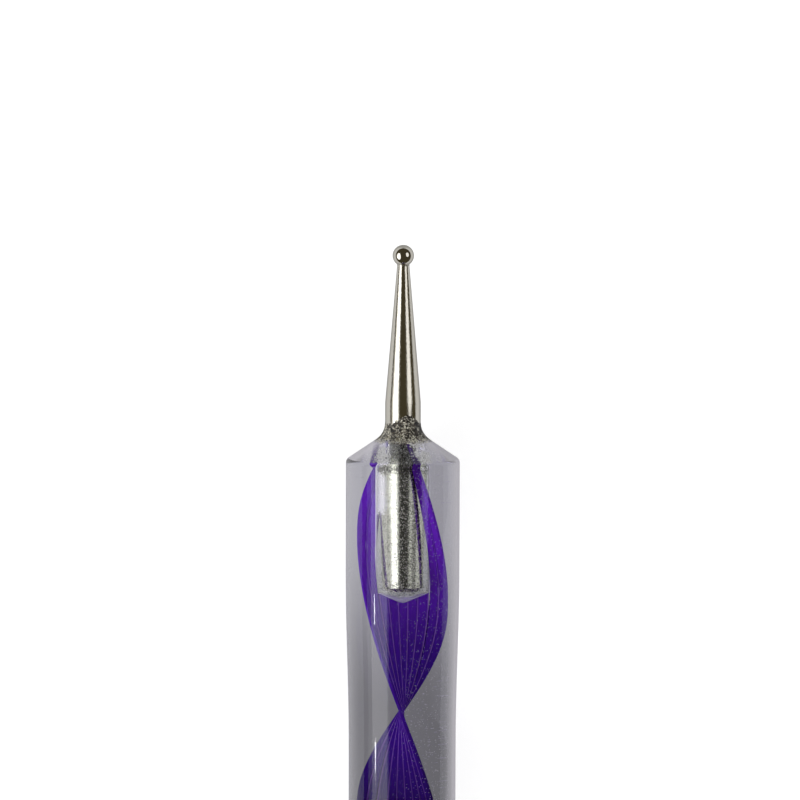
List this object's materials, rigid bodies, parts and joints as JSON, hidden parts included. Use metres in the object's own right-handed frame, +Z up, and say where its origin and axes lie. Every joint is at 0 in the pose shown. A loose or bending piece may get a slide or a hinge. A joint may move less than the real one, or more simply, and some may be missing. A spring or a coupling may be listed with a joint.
{
  "type": "embossing stylus",
  "caption": "Clear-handled double-ended ball stylus with a twisted ribbon set in the handle and a tapered metal tip at each end.",
  "frame": {"origin": "centre of the footprint, on the surface that the tool lies on", "axes": "+Y along the tool towards its fine tip, +Z up off the surface"},
  "size_m": [0.008, 0.1248, 0.008],
  "materials": {
    "clear_acrylic": "polished, clear with a smoky lavender cast",
    "purple_strand": "deep purple fused filament",
    "pale_strand": "thin pale lilac filament",
    "nickel_plate": "turned steel, nickel plated",
    "polished_ball": "polished ball, nickel plated",
    "silver_solder": "smooth braze under the plating",
    "clear_adhesive": "cured clear adhesive with fine bubbles",
    "filled_adhesive": "cured bead full of metal dust"
  },
  "bodies": {
    "root": {"handle": "clear_acrylic", "ribbon_seams": "pale_strand", "ribbon_strand_1": "purple_strand", "ribbon_strand_2": "purple_strand", "ribbon_strand_3": "purple_strand", "ribbon_strand_4": "purple_strand", "ribbon_strand_5": "purple_strand", "ribbon_strand_6": "purple_strand", "ribbon_strand_7": "purple_strand", "ribbon_strand_8": "purple_strand", "ribbon_strand_9": "purple_strand", "fine_ball": "polished_ball", "fine_solder": "silver_solder", "fine_shank": "nickel_plate", "fine_socket_adhesive": "clear_adhesive", "fine_neck_adhesive": "filled_adhesive", "broad_ball": "polished_ball", "broad_solder": "silver_solder", "broad_shank": "nickel_plate", "broad_socket_adhesive": "clear_adhesive", "broad_neck_adhesive": "filled_adhesive"}
  },
  "joints": []
}
